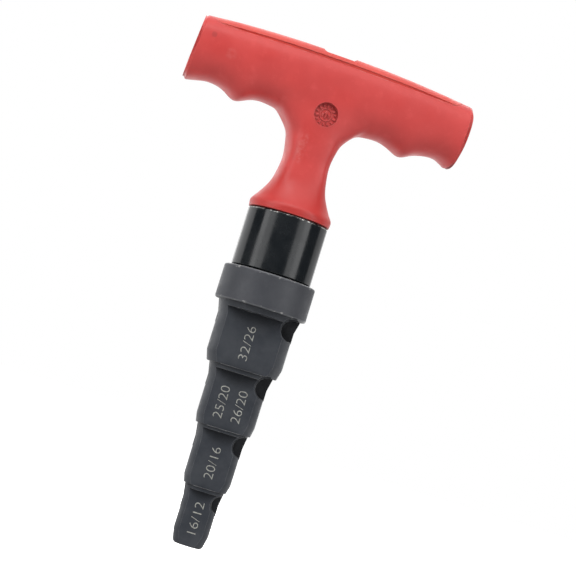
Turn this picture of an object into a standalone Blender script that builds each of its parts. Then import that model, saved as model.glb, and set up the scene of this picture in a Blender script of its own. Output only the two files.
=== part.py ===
"""T-handled deburring and calibrating tool for multilayer pipe, as an assembly of separate pieces.

Frame: the origin is the centre of the mandrel's nose, +Z runs up the tool's axis to the handle,
the handle's bar lies along X and its front faces -Y. The mandrel is keyed in its hexagon socket a
little off square to the bar, so its pieces hang from an empty that is turned about +Z.
"""
import math

import bmesh
import bpy
from mathutils import Matrix, Vector

MM = 0.001
GAP = 0.3                    # clearance kept between neighbouring pieces
MANDREL_TURN = -11.0         # degrees about +Z, how the mandrel is clocked against the bar

# Stepped mandrel: one row a pipe size, (name, nose z, barrel start, barrel end, shoulder z,
# lower radius, barrel radius, upper radius)
STEPS = (
    ("16", 0.0, 4.6, 15.4, 19.6, 5.1, 5.92, 6.54),
    ("20", 19.6, 22.5, 35.3, 39.6, 7.2, 7.93, 8.5),
    ("26", 39.6, 42.7, 55.8, 60.0, 9.3, 9.92, 10.8),
    ("32", 60.0, 63.6, 76.4, 80.7, 11.95, 12.92, 13.97),
)
NOSE_RADIUS = 4.5            # flat end below the first step's small chamfer
NOSE_CHAMFER = 0.7
CORNER_FILLET = 0.35         # inside corner under each shoulder
COLLAR_RADIUS, COLLAR_TOP, COLLAR_ROUND = 15.64, 92.3, 0.8
BODY_SEGMENTS = 48

# Cutter blades, each lying across the axis in a window, with a chip pocket before each edge
BLADE_HALF = 1.0             # half of the blade's thickness
BLADE_PROUD = 0.1            # how far the edges stand out of the body
POCKETS = {                  # by step: (centre off the axis, centre z, radius)
    "16": (6.65, 15.4, 3.2), "20": (8.3, 35.6, 3.7), "26": (9.75, 56.25, 3.8), "32": (12.2, 76.85, 3.8),
}
FLATS = {                    # by step: (distance of the two milled flats from the axis, top z)
    "16": (4.3, 18.4), "20": (5.45, 38.6), "26": (6.6, 58.5), "32": (8.5, 78.8),
}
BLADE_FOOT = 3.6             # how far the blade reaches below the end of the barrel
SCREW_RADIUS, SCREW_KEY, SCREW_DEPTH = 1.2, 1.5, 0.9

# Drive shank, its pin and its ball detent
HEX_FLATS = 10.0
SHANK_RADIUS, SHANK_FOOT, SHANK_TOP = 5.0, 82.4, 110.6
PIN_RADIUS, PIN_Z, PIN_BACK, PIN_FRONT = 1.5, 87.0, 14.6, -7.4
BALL_RADIUS, BALL_Z, BALL_PROUD = 1.75, 102.6, 0.25
SPRING_RADIUS, SPRING_WIRE, SPRING_TURNS = 1.2, 0.24, 4.5

# Handle root: ferrule, socket insert and tie bolt
FERRULE_RADIUS, FERRULE_BORE = 13.67, 12.3
FERRULE_FOOT, FERRULE_TOP = 92.6, 112.6
FERRULE_CHAMFER = 0.35
BASE_Z, BASE_RADIUS, TANG_RADIUS, TANG_FOOT = 112.9, 14.0, 12.0, 92.9
INSERT_FLATS, INSERT_NECK, INSERT_SHOULDER, INSERT_TOP = 16.0, 6.0, 114.4, 124.0
SOCKET_TOP = 112.0
BOLT_RADIUS, BOLT_TIP, HEAD_RADIUS, HEAD_HEIGHT = 3.0, 114.8, 5.0, 6.0
WASHER_RADIUS, WASHER_THICK = 6.2, 1.5
LOCK_RADIUS, LOCK_THICK = 4.9, 1.4

# Handle bar and neck. The bar's middle line is at BAR_Z; its underside has a finger scallop each
# side of a ridge, and runs into the neck through a fillet.
BAR_Z, BAR_HALF, BAR_DEPTH = 158.4, 48.26, 10.4
END_SLANT, SLANT_START = (0.119, 0.05), 36.0     # the end faces run in towards the back
END_LEAN = (0.078, 0.03)     # and lean sideways going up; both are (left end, right end)
CROWN_Z, CROWN_DROP, CROWN_POWER = 169.35, 2.0, 2.2
UNDERSIDE = {                # (x, z) out from the neck, by side: -1 is left and 1 is right
    -1: ((13.5, 145.1), (16.5, 146.25), (19.6, 146.55), (22.8, 146.2), (25.9, 144.95), (28.8, 143.95),
         (31.6, 145.1), (34.4, 146.45), (38.8, 147.05), (42.8, 146.4), (46.3, 145.6)),
    1: ((13.5, 145.1), (16.7, 146.25), (20.0, 146.55), (23.5, 146.2), (27.0, 144.95), (30.0, 143.95),
        (32.8, 145.05), (35.5, 146.25), (39.4, 147.1), (43.5, 147.0), (46.9, 145.6)),
}
BAR_SQUARENESS = 2.5         # exponent of the section's superellipse
END_CAP = ((47.2, 0.99), (47.9, 0.965), (48.26, 0.91))       # (x, size of the section) at the end
FOOT_DRAW = (2.0, 0.8)       # how much faster the section's foot draws in there: (left, right)
NECK_SPREAD = 4.2            # half the gap between the two rings above the neck
NECK = (                     # (z, half width, half depth, squareness)
    (141.3, 9.9, 9.0, 2.9), (137.3, 8.25, 8.7, 3.4), (132.5, 7.5, 8.5, 3.5), (127.5, 7.95, 8.7, 3.4),
    (123.2, 9.1, 9.6, 2.7), (119.6, 11.0, 11.2, 2.25), (116.8, 12.9, 12.9, 2.0),
    (114.6, 14.0, 14.0, 2.0), (111.0, 14.0, 14.0, 2.0), (106.0, 14.0, 14.0, 2.0),
)
FRONT_SHEET = 9.5            # half depth where the bar's front runs down into the neck
CORE_HALF_WIDTH, CORE_FLOOR = 5.6, 151.6
CENTRE_CORE, SIDE_CORE = 9.0, (12.0, 37.0)   # half length, and reach along the bar
CLOCK_Z, CLOCK_RADIUS, CLOCK_DEPTH = 147.8, 4.1, 0.8

# Top strip, which closes the cored-out bar
STRIP_HALF, STRIP_HALF_WIDTH, STRIP_CORNER = 44.4, 8.7, 5.0
STRIP_FLOOR, STRIP_RISE = 162.9, 0.5
NOTCH_HALF, NOTCH_DEPTH = 5.2, 1.6
CAP_HEIGHT, CAP_OVERHANG, FLANGE = 2.6, 0.85, 2.2     # rim over the shadow groove, its depth, its floor
CLIP_X, CLIP_HALF, CLIP_DROP, CLIP_THICK = 24.0, 5.0, 6.0, 1.4


# ---------------------------------------------------------------- scene and small helpers

def clear_scene():
    for old in list(bpy.data.objects):
        bpy.data.objects.remove(old, do_unlink=True)
    for group in list(bpy.data.collections):
        bpy.data.collections.remove(group)


def collection(name):
    group = bpy.data.collections.new(name)
    bpy.context.scene.collection.children.link(group)
    return group


def material(name, colour, roughness, metallic):
    made = bpy.data.materials.new(name)
    made.use_nodes = True
    shader = made.node_tree.nodes["Principled BSDF"]
    shader.inputs["Base Color"].default_value = (*colour, 1.0)
    shader.inputs["Roughness"].default_value = roughness
    shader.inputs["Metallic"].default_value = metallic
    return made


def place(name, mesh, finish=None, parent=None):
    """Put a mesh in the scene: a part when it has a finish, and a hidden cutter when it has none."""
    made = bpy.data.objects.new(name, mesh)
    if finish is None:
        CUTTERS.objects.link(made)
        made.hide_render = True
        made.display_type = "WIRE"
    else:
        PARTS.objects.link(made)
        mesh.materials.append(finish)
    made.parent = parent
    return made


def smooth(target, angle=35.0):
    target.data.shade_smooth()
    target.data.set_sharp_from_angle(angle=math.radians(angle))


def cut(target, tool, operation="DIFFERENCE"):
    change = target.modifiers.new(tool.name, "BOOLEAN")
    change.operation = operation
    change.solver = "EXACT"
    change.object = tool


def turned_mesh(name, profile, segments=BODY_SEGMENTS, ring=False):
    """Turn a profile of (radius, z) points about Z; it runs down its outer side, top to bottom."""
    mesh = bpy.data.meshes.new(name)
    points = [(radius * MM, 0.0, z * MM) for radius, z in profile]
    edges = [(i, i + 1) for i in range(len(points) - 1)]
    if ring:
        edges.append((len(points) - 1, 0))
    mesh.from_pydata(points, edges, [])
    turning = bpy.data.objects.new(name + "_profile", mesh)
    CUTTERS.objects.link(turning)
    screw = turning.modifiers.new("turn", "SCREW")
    screw.steps = screw.render_steps = segments
    screw.use_merge_vertices = True
    screw.merge_threshold = 1e-6
    solid = bpy.data.meshes.new_from_object(turning.evaluated_get(bpy.context.evaluated_depsgraph_get()))
    bpy.data.objects.remove(turning)
    solid.name = name
    return solid


def prism_mesh(name, outline, low, high):
    """A flat outline of (x, y) points, as a filled 2D curve, standing between two heights."""
    curve = bpy.data.curves.new(name, "CURVE")
    curve.dimensions = "2D"
    curve.fill_mode = "BOTH"
    curve.extrude = (high - low) / 2 * MM
    spline = curve.splines.new("POLY")
    spline.points.add(len(outline) - 1)
    for point, (x, y) in zip(spline.points, outline):
        point.co = (x * MM, y * MM, 0.0, 1.0)
    spline.use_cyclic_u = True
    holder = bpy.data.objects.new(name + "_outline", curve)
    CUTTERS.objects.link(holder)
    mesh = bpy.data.meshes.new_from_object(holder.evaluated_get(bpy.context.evaluated_depsgraph_get()))
    bpy.data.objects.remove(holder)
    work = bmesh.new()
    work.from_mesh(mesh)
    bmesh.ops.remove_doubles(work, verts=work.verts, dist=1e-6)
    bmesh.ops.translate(work, verts=work.verts, vec=(0.0, 0.0, (high + low) / 2 * MM))
    bmesh.ops.recalc_face_normals(work, faces=work.faces)
    work.to_mesh(mesh)
    work.free()
    mesh.name = name
    return mesh


def rod_mesh(name, radius, low, high, segments=32, sides=None, centre=(0.0, 0.0), along="Z"):
    """A rod between two stations of an axis; with sides it is a bar, measured across its flats."""
    count = sides or segments
    reach = radius / math.cos(math.pi / count) if sides else radius
    work = bmesh.new()
    bmesh.ops.create_cone(work, cap_ends=True, segments=count, radius1=reach * MM, radius2=reach * MM,
                          depth=(high - low) * MM)
    if sides:
        bmesh.ops.rotate(work, verts=work.verts, matrix=Matrix.Rotation(math.pi / count, 3, "Z"))
    move = Matrix.Translation((centre[0] * MM, centre[1] * MM, (low + high) / 2 * MM))
    if along == "Y":
        move = Matrix.Translation((centre[0] * MM, (low + high) / 2 * MM, centre[1] * MM)) \
            @ Matrix.Rotation(math.pi / 2, 4, "X")
    bmesh.ops.transform(work, verts=work.verts, matrix=move)
    mesh = bpy.data.meshes.new(name)
    work.to_mesh(mesh)
    work.free()
    return mesh


def box_mesh(name, low, high):
    work = bmesh.new()
    bmesh.ops.create_cube(work, size=1.0)
    size = [(b - a) * MM for a, b in zip(low, high)]
    middle = [(a + b) / 2 * MM for a, b in zip(low, high)]
    bmesh.ops.transform(work, verts=work.verts,
                        matrix=Matrix.Translation(middle) @ Matrix.Diagonal((*size, 1.0)))
    mesh = bpy.data.meshes.new(name)
    work.to_mesh(mesh)
    work.free()
    return mesh


def rounded_outline(half_length, half_width, corner, steps=5):
    """A rectangle's outline with round corners, or a slot's when the corner is the half width."""
    points = []
    for quarter, (sx, sy) in enumerate(((1, -1), (1, 1), (-1, 1), (-1, -1))):
        for i in range(steps + 1):
            angle = math.pi / 2 * (quarter - 1 + i / steps)
            points.append((sx * (half_length - corner) + corner * math.cos(angle),
                           sy * (half_width - corner) + corner * math.sin(angle)))
    return points


# ---------------------------------------------------------------- the mandrel

def body_profile():
    """Outline of the turned body, from the shank bore's floor round to the nose."""
    bore = SHANK_RADIUS + GAP
    floor = SHANK_FOOT - GAP
    profile = [(0.0, floor), (bore, floor), (bore, COLLAR_TOP)]
    for i in range(4):
        angle = math.pi / 2 * i / 3
        profile.append((COLLAR_RADIUS - COLLAR_ROUND * (1 - math.sin(angle)),
                        COLLAR_TOP - COLLAR_ROUND * (1 - math.cos(angle))))
    shoulder = STEPS[-1][4]
    for i in range(4):
        angle = math.pi / 2 * i / 3
        profile.append((COLLAR_RADIUS - COLLAR_ROUND * (1 - math.cos(angle)),
                        shoulder + COLLAR_ROUND * (1 - math.sin(angle))))
    for name, foot, start, end, top, low_radius, radius, top_radius in reversed(STEPS):
        profile.append((top_radius + CORNER_FILLET, top))
        profile.append((top_radius + CORNER_FILLET * 0.2, top - CORNER_FILLET * 0.4))
        profile.append((top_radius - 0.12, top - CORNER_FILLET * 1.4))
        profile += [(radius, end), (radius, start)]
        profile.append((low_radius, NOSE_CHAMFER if foot == 0.0 else foot))
    return profile + [(NOSE_RADIUS, 0.0), (0.0, 0.0)]


def blade_outline(step, grow=0.0):
    """Front view of one blade: straight along the barrel, then flared along the cone."""
    name, foot, start, end, top, low_radius, radius, top_radius = step
    half, wide = radius + BLADE_PROUD, top_radius + BLADE_PROUD
    low = end - BLADE_FOOT - grow
    if grow:
        half = wide = COLLAR_RADIUS
    right = [(half, low), (half, end), (wide, top + grow)]
    return right + [(-x, z) for x, z in reversed(right)]


def standing(mesh):
    """Turn a mesh made in the XY plane up into the XZ plane."""
    mesh.transform(Matrix.Rotation(math.pi / 2, 4, "X"))
    return mesh


def make_mandrel(axis, steel):
    body = place("mandrel_body", turned_mesh("mandrel_body", body_profile()), steel["body"], axis)
    for step in STEPS:
        name, foot, start, end, top, low_radius, radius, top_radius = step
        window = place("window_" + name, standing(prism_mesh("window_" + name,
                       blade_outline(step, GAP), -BLADE_HALF - GAP, BLADE_HALF + GAP)), None, axis)
        cut(body, window)
        pocket_x, pocket_z, pocket_radius = POCKETS[name]
        flat, flat_top = FLATS[name]
        for side in (1, -1):
            near, far = BLADE_HALF + 0.1, radius + 3.0
            low, high = (-far, -near) if side > 0 else (near, far)
            tool = rod_mesh("pocket_" + name, pocket_radius, low, high, 32, None,
                            (side * pocket_x, pocket_z), "Y")
            cut(body, place("pocket_" + name, tool, None, axis))
            low_y, high_y = sorted((side * flat, side * (COLLAR_RADIUS + 2.0)))
            relief = box_mesh("flat_" + name, (-COLLAR_RADIUS, low_y, foot or -1.0),
                              (COLLAR_RADIUS, high_y, flat_top))
            cut(body, place("flat_" + name, relief, None, axis))
        blade_z = (end - BLADE_FOOT + top) / 2
        hole = rod_mesh("screw_hole_" + name, SCREW_RADIUS + GAP, BLADE_HALF - 0.5, radius + 3.0,
                        16, None, (0.0, blade_z), "Y")
        cut(body, place("screw_hole_" + name, hole, None, axis))
        blade = standing(prism_mesh("cutter_blade_" + name, blade_outline(step), -BLADE_HALF, BLADE_HALF))
        place("cutter_blade_" + name, blade, steel["blade"], axis)
        screw_end = flat - 0.35
        screw = place("blade_screw_" + name, rod_mesh("blade_screw_" + name, SCREW_RADIUS,
                      BLADE_HALF + GAP, screw_end, 24, None, (0.0, blade_z), "Y"), steel["screw"], axis)
        key = rod_mesh("screw_key_" + name, SCREW_KEY / 2, screw_end - SCREW_DEPTH, screw_end + 1.0,
                       6, 6, (0.0, blade_z), "Y")
        cut(screw, place("screw_key_" + name, key, None, axis))
    pin_hole = rod_mesh("pin_hole", PIN_RADIUS + GAP, PIN_FRONT - GAP, COLLAR_RADIUS + 2.0, 20, None,
                        (0.0, PIN_Z), "Y")
    cut(body, place("pin_hole", pin_hole, None, axis))
    smooth(body)
    return body


def make_shank(axis, steel):
    """Hexagon drive shank: a round root pinned in the collar, and a hexagon with a ball detent."""
    shank = place("drive_shank", rod_mesh("drive_shank", SHANK_RADIUS, SHANK_FOOT, COLLAR_TOP + 1.0),
                  steel["shank"], axis)
    hexagon = rod_mesh("shank_hexagon", HEX_FLATS / 2, COLLAR_TOP + GAP, SHANK_TOP, sides=6)
    cut(shank, place("shank_hexagon", hexagon, None, axis), "UNION")
    corner = HEX_FLATS / 2 / math.cos(math.pi / 6)
    lead = turned_mesh("shank_lead", [(corner - 1.0, SHANK_TOP), (corner + 3.0, SHANK_TOP - 4.0),
                                      (corner + 3.0, SHANK_TOP + 1.0), (corner - 1.0, SHANK_TOP + 1.0)][::-1],
                       32, ring=True)
    cut(shank, place("shank_lead", lead, None, axis))
    bore = rod_mesh("ball_bore", BALL_RADIUS + GAP / 2, -3.0, HEX_FLATS, 24, None, (0.0, BALL_Z), "Y")
    cut(shank, place("ball_bore", bore, None, axis))
    hole = rod_mesh("shank_pin_hole", PIN_RADIUS + GAP, -HEX_FLATS, HEX_FLATS, 20, None,
                    (0.0, PIN_Z), "Y")
    cut(shank, place("shank_pin_hole", hole, None, axis))
    pin = rod_mesh("shank_pin", PIN_RADIUS, PIN_FRONT, PIN_BACK, 20, None, (0.0, PIN_Z), "Y")
    place("shank_pin", pin, steel["screw"], axis)


def make_detent(axis, steel):
    centre_y = HEX_FLATS / 2 + BALL_PROUD - BALL_RADIUS
    work = bmesh.new()
    bmesh.ops.create_uvsphere(work, u_segments=20, v_segments=12, radius=BALL_RADIUS * MM)
    mesh = bpy.data.meshes.new("detent_ball")
    work.to_mesh(mesh)
    work.free()
    ball = place("detent_ball", mesh, steel["ball"], axis)
    ball.location = (0.0, centre_y * MM, BALL_Z * MM)
    smooth(ball, 60.0)

    start = -3.0 + SPRING_WIRE + 0.15
    length = centre_y - BALL_RADIUS - SPRING_WIRE - 0.15 - start
    curve = bpy.data.curves.new("detent_spring", "CURVE")
    curve.dimensions = "3D"
    curve.bevel_depth = SPRING_WIRE * MM
    curve.bevel_resolution = 1
    curve.use_fill_caps = True
    spline = curve.splines.new("POLY")
    count = int(SPRING_TURNS * 12)
    spline.points.add(count)
    for i, point in enumerate(spline.points):
        angle = 2 * math.pi * SPRING_TURNS * i / count
        point.co = (SPRING_RADIUS * math.cos(angle) * MM, (start + length * i / count) * MM,
                    (BALL_Z + SPRING_RADIUS * math.sin(angle)) * MM, 1.0)
    spring = bpy.data.objects.new("detent_spring", curve)
    curve.materials.append(steel["ball"])
    PARTS.objects.link(spring)
    spring.parent = axis


# ---------------------------------------------------------------- the handle

def superellipse(angle, half_x, half_y, power):
    c, s = math.cos(angle), math.sin(angle)
    return (math.copysign(abs(c) ** (2 / power), c) * half_x,
            math.copysign(abs(s) ** (2 / power), s) * half_y)


def crown(x, rise=0.0):
    """Height of the bar's top; rise is how far the strip stands up at the middle."""
    base = CROWN_Z - CROWN_DROP * (abs(x) / BAR_HALF) ** CROWN_POWER
    return base + rise * max(0.0, 1.0 - (x / STRIP_HALF) ** 2)


def bar_ring(x, bottom, rise, size=1.0, sheet=False):
    """Twelve points round the bar's section, from the lower front corner over the top."""
    ring = []
    for i in range(12):
        angle = math.radians(225 - 30 * i)
        y, unit = superellipse(angle, BAR_DEPTH, 1.0, BAR_SQUARENESS)
        reach = crown(x, rise) - BAR_Z if unit > 0 else BAR_Z - bottom
        z = BAR_Z + unit * reach
        if sheet and i in (0, 9):
            y, z = math.copysign(FRONT_SHEET, y), bottom + 3.2
        middle = (crown(x) + bottom) / 2
        y *= size
        draw = 1.0 if z > middle else FOOT_DRAW[x > 0]
        z = middle + (z - middle) * (1.0 - draw * (1.0 - size))
        share = min(1.0, max(0.0, (abs(x) - SLANT_START) / (BAR_HALF - SLANT_START)))
        along = math.copysign(abs(x) - (y + BAR_DEPTH) * END_SLANT[x > 0] * share, x)
        along += (z - BAR_Z) * END_LEAN[x > 0] * share
        ring.append(Vector((along, y, z)))
    return ring


def neck_ring(z, half_width, half_depth, power):
    ring = []
    for i in range(12):
        x, y = superellipse(math.radians(225 + 30 * i), half_width, half_depth, power)
        ring.append(Vector((x, y, z)))
    return ring


def side_stations(side):
    """The bar's rings out from the neck to one end: (x, foot, size, whether it meets the neck)."""
    under = UNDERSIDE[side]
    stations = [(side * NECK_SPREAD, under[0][1], 1.0, True)]
    stations += [(side * x, bottom, 1.0, False) for x, bottom in under]
    return stations + [(side * x, under[-1][1], size, False) for x, size in END_CAP]


def handle_cage(rise):
    """Quad cage of the T: the bar's rings, the neck's rings below its middle, and square caps."""
    left, right = side_stations(-1), side_stations(1)
    stations = left[::-1] + right
    points, quads, rings = [], [], []

    def add(ring):
        rings.append(list(range(len(points), len(points) + len(ring))))
        points.extend(ring)
        return rings[-1]

    for x, bottom, size, sheet in stations:
        add(bar_ring(x, bottom, rise, size, sheet))
    middle = len(right)              # first station right of the axis
    for r in range(len(stations) - 1):
        a, b = rings[r], rings[r + 1]
        open_below = middle - 2 <= r <= middle
        for i in range(12):
            if open_below and i in (9, 10, 11):
                continue
            j = (i + 1) % 12
            quads.append((a[i], a[j], b[j], b[i]))
    hole = [rings[r][0] for r in range(middle - 2, middle + 2)]
    hole += [rings[middle + 1][i] for i in (11, 10)]
    hole += [rings[r][9] for r in range(middle + 1, middle - 3, -1)]
    hole += [rings[middle - 2][i] for i in (10, 11)]
    above = hole
    for z, half_width, half_depth, power in NECK:
        below = add(neck_ring(z, half_width, half_depth, power))
        for i in range(12):
            j = (i + 1) % 12
            quads.append((above[i], above[j], below[j], below[i]))
        above = below
    for ring, flip in ((rings[0], True), (rings[len(stations) - 1], False), (above, True)):
        inner = []
        for i, (u, v) in enumerate(((1 / 3, 1 / 3), (2 / 3, 1 / 3), (2 / 3, 2 / 3), (1 / 3, 2 / 3))):
            corner = [points[ring[k]] for k in (0, 3, 6, 9)]
            spot = (corner[0] * (1 - u) * (1 - v) + corner[1] * u * (1 - v)
                    + corner[2] * u * v + corner[3] * (1 - u) * v)
            inner.append(len(points))
            points.append(spot)
        a, b, c, d = inner
        r = ring
        patch = [(r[0], r[1], a, r[11]), (r[1], r[2], b, a), (r[2], r[3], r[4], b), (b, r[4], r[5], c),
                 (c, r[5], r[6], r[7]), (d, c, r[7], r[8]), (r[10], d, r[8], r[9]), (r[11], a, d, r[10]),
                 (a, b, c, d)]
        quads += [q[::-1] for q in patch] if flip else patch
    used = sorted({corner for quad in quads for corner in quad})
    place_of = {old: new for new, old in enumerate(used)}
    return [points[old] for old in used], [tuple(place_of[c] for c in quad) for quad in quads]


def fit_cage(points, quads, rounds=25):
    """Move a quad cage so that its subdivided surface passes through the points given."""
    edges, faces = [set() for _ in points], [[] for _ in points]
    for quad in quads:
        for i, corner in enumerate(quad):
            edges[corner].update((quad[i - 1], quad[(i + 1) % 4]))
            faces[corner].append(quad[(i + 2) % 4])
    cage = [p.copy() for p in points]
    for _ in range(rounds):
        moved = []
        for k, point in enumerate(cage):
            n = len(edges[k])
            limit = point * (n * n)
            for other in edges[k]:
                limit += cage[other] * 4
            for other in faces[k]:
                limit += cage[other]
            moved.append(point + (points[k] - limit / (n * (n + 5))) * 0.9)
        cage = moved
    return cage


def handle_solid(name, rise, levels):
    points, quads = handle_cage(rise)
    cage = fit_cage(points, quads)
    mesh = bpy.data.meshes.new(name)
    mesh.from_pydata([p * MM for p in cage], [], quads)
    work = bmesh.new()
    work.from_mesh(mesh)
    bmesh.ops.recalc_face_normals(work, faces=work.faces)
    work.to_mesh(mesh)
    work.free()
    holder = bpy.data.objects.new(name, mesh)
    CUTTERS.objects.link(holder)
    rounding = holder.modifiers.new("round", "SUBSURF")
    rounding.levels = rounding.render_levels = levels
    solid = bpy.data.meshes.new_from_object(holder.evaluated_get(bpy.context.evaluated_depsgraph_get()))
    bpy.data.objects.remove(holder)
    solid.name = name
    return solid


def strip_plan(grow=0.0):
    return rounded_outline(STRIP_HALF + grow, STRIP_HALF_WIDTH + grow, STRIP_CORNER + grow)


def cap_groove():
    """Rebate round the strip's sides, so that its rim stands over a shadow groove."""
    steps, low = 24, STRIP_FLOOR + FLANGE
    reach = BAR_HALF * ((CROWN_Z - CAP_HEIGHT - low) / CROWN_DROP) ** (1 / CROWN_POWER)
    top = [(x, crown(x) - CAP_HEIGHT) for x in (reach - 2 * reach * i / steps for i in range(1, steps))]
    outline = [(-reach, low), (reach, low)] + top
    groove = place("cap_groove", standing(prism_mesh("cap_groove", outline, -20.0, 20.0)))
    stem = prism_mesh("cap_stem", strip_plan(-CAP_OVERHANG), STRIP_FLOOR - 1.0, CROWN_Z + 5.0)
    cut(groove, place("cap_stem", stem))
    return groove


def make_grip(plastic):
    grip = place("handle_grip", handle_solid("handle_grip", 0.0, 1), plastic)
    far = BAR_HALF * 2
    cut(grip, place("base_plane", box_mesh("base_plane", (-far, -far, 90.0), (far, far, BASE_Z))))
    tang = rod_mesh("tang", TANG_RADIUS, TANG_FOOT, BASE_Z + 1.0, BODY_SEGMENTS)
    cut(grip, place("tang", tang), "UNION")
    insert_room = rod_mesh("insert_room", INSERT_FLATS / 2 + GAP, TANG_FOOT - 1.0,
                           INSERT_SHOULDER + GAP, sides=6)
    insert_room.transform(Matrix.Rotation(math.radians(MANDREL_TURN), 4, "Z"))
    cut(grip, place("insert_room", insert_room))
    cut(grip, place("insert_neck_room", rod_mesh("insert_neck_room", INSERT_NECK + GAP,
                                                 INSERT_SHOULDER - 1.0, INSERT_TOP + GAP)))
    cut(grip, place("bolt_room", rod_mesh("bolt_room", BOLT_RADIUS + GAP, INSERT_TOP - 1.0,
                                          CORE_FLOOR + 1.0, 24)))
    ledge = prism_mesh("strip_ledge", strip_plan(GAP), STRIP_FLOOR - GAP, CROWN_Z + 5.0)
    cut(grip, place("strip_ledge", ledge))
    wide = CORE_HALF_WIDTH + 0.9
    core = prism_mesh("centre_core", rounded_outline(CENTRE_CORE, wide, 3.0), CORE_FLOOR,
                      STRIP_FLOOR + 1.0)
    cut(grip, place("centre_core", core))
    near, reach = SIDE_CORE
    for side in (1, -1):
        pocket = prism_mesh("side_core", rounded_outline((reach - near) / 2, CORE_HALF_WIDTH, 3.0),
                            CORE_FLOOR, STRIP_FLOOR + 1.0)
        pocket.transform(Matrix.Translation((side * (near + reach) / 2 * MM, 0.0, 0.0)))
        cut(grip, place("side_core", pocket))
    clock = rod_mesh("clock_room", CLOCK_RADIUS, -FRONT_SHEET - 3.0, -FRONT_SHEET + CLOCK_DEPTH, 32,
                     None, (0.0, CLOCK_Z), "Y")
    cut(grip, place("clock_room", clock))
    smooth(grip, 50.0)


def make_strip(plastic):
    strip = place("handle_top_strip", handle_solid("handle_top_strip", STRIP_RISE, 1), plastic)
    plan = prism_mesh("strip_plan", strip_plan(), STRIP_FLOOR, CROWN_Z + 5.0)
    cut(strip, place("strip_plan", plan), "INTERSECT")
    cut(strip, cap_groove())
    top = crown(0.0, STRIP_RISE)
    notch = box_mesh("lift_notch", (-NOTCH_HALF, -20.0, top - NOTCH_DEPTH), (NOTCH_HALF, 20.0, top + 5.0))
    cut(strip, place("lift_notch", notch))
    for side in (1, -1):
        for wall in (1, -1):
            near = CORE_HALF_WIDTH - GAP - CLIP_THICK
            low_y, high_y = sorted((wall * near, wall * (near + CLIP_THICK)))
            clip = box_mesh("strip_clip", (side * CLIP_X - CLIP_HALF, low_y, STRIP_FLOOR - CLIP_DROP),
                            (side * CLIP_X + CLIP_HALF, high_y, STRIP_FLOOR + 0.8))
            cut(strip, place("strip_clip", clip), "UNION")
    smooth(strip, 50.0)


def make_handle_root(axis, steel):
    c = FERRULE_CHAMFER
    ferrule = turned_mesh("ferrule_sleeve", [
        (FERRULE_RADIUS - c, FERRULE_TOP), (FERRULE_RADIUS, FERRULE_TOP - c),
        (FERRULE_RADIUS, FERRULE_FOOT + c), (FERRULE_RADIUS - c, FERRULE_FOOT),
        (FERRULE_BORE, FERRULE_FOOT), (FERRULE_BORE, FERRULE_TOP)], 64, ring=True)
    smooth(place("ferrule_sleeve", ferrule, steel["ferrule"]))

    insert = place("socket_insert", rod_mesh("socket_insert", INSERT_FLATS / 2, TANG_FOOT,
                   INSERT_SHOULDER, sides=6), steel["shank"], axis)
    cut(insert, place("insert_neck", rod_mesh("insert_neck", INSERT_NECK, INSERT_SHOULDER - 1.0,
                                              INSERT_TOP), None, axis), "UNION")
    cut(insert, place("hex_socket", rod_mesh("hex_socket", HEX_FLATS / 2 + GAP, TANG_FOOT - 1.0,
                                             SOCKET_TOP, sides=6), None, axis))
    cut(insert, place("bolt_thread", rod_mesh("bolt_thread", BOLT_RADIUS + GAP, SOCKET_TOP - 1.0,
                                              INSERT_TOP + 1.0, 24), None, axis))

    seat = CORE_FLOOR + GAP
    hole = BOLT_RADIUS + GAP
    washer = [(WASHER_RADIUS, seat + WASHER_THICK), (WASHER_RADIUS, seat), (hole, seat),
              (hole, seat + WASHER_THICK)]
    place("bolt_washer", turned_mesh("bolt_washer", washer, 40, ring=True), steel["screw"])
    seat += WASHER_THICK + GAP
    lock = [(LOCK_RADIUS, seat + LOCK_THICK), (LOCK_RADIUS, seat), (hole, seat), (hole, seat + LOCK_THICK)]
    lock_washer = place("lock_washer", turned_mesh("lock_washer", lock, 40, ring=True), steel["screw"])
    split = box_mesh("washer_split", (hole - 1.0, -0.4, seat - 1.0), (LOCK_RADIUS + 1.0, 0.4, seat + 3.0))
    cut(lock_washer, place("washer_split", split))
    seat += LOCK_THICK + GAP
    bolt = place("tie_bolt", turned_mesh("tie_bolt", [
        (0.0, seat + HEAD_HEIGHT), (HEAD_RADIUS - 0.4, seat + HEAD_HEIGHT),
        (HEAD_RADIUS, seat + HEAD_HEIGHT - 0.4), (HEAD_RADIUS, seat), (BOLT_RADIUS, seat),
        (BOLT_RADIUS, BOLT_TIP + 0.6), (BOLT_RADIUS - 0.6, BOLT_TIP), (0.0, BOLT_TIP)], 32),
        steel["screw"])
    key = rod_mesh("bolt_key", 2.5, seat + HEAD_HEIGHT - 3.0, seat + HEAD_HEIGHT + 1.0, sides=6)
    cut(bolt, place("bolt_key", key))


# ---------------------------------------------------------------- the whole tool

clear_scene()
PARTS = collection("deburring_tool")
CUTTERS = collection("cutters")

red = material("red_moulded_plastic", (0.58, 0.07, 0.065), 0.45, 0.0)
steels = {
    "body": material("phosphated_steel", (0.055, 0.06, 0.068), 0.5, 0.7),
    "blade": material("hardened_blade_steel", (0.03, 0.031, 0.034), 0.3, 0.9),
    "ferrule": material("blackened_sleeve", (0.012, 0.014, 0.017), 0.22, 0.5),
    "shank": material("bright_drive_steel", (0.4, 0.4, 0.41), 0.35, 1.0),
    "screw": material("black_fastener_steel", (0.05, 0.05, 0.053), 0.4, 0.9),
    "ball": material("ball_and_spring_steel", (0.6, 0.6, 0.61), 0.2, 1.0),
}
mandrel_axis = bpy.data.objects.new("mandrel_axis", None)
PARTS.objects.link(mandrel_axis)
mandrel_axis.rotation_euler = (0.0, 0.0, math.radians(MANDREL_TURN))

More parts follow.
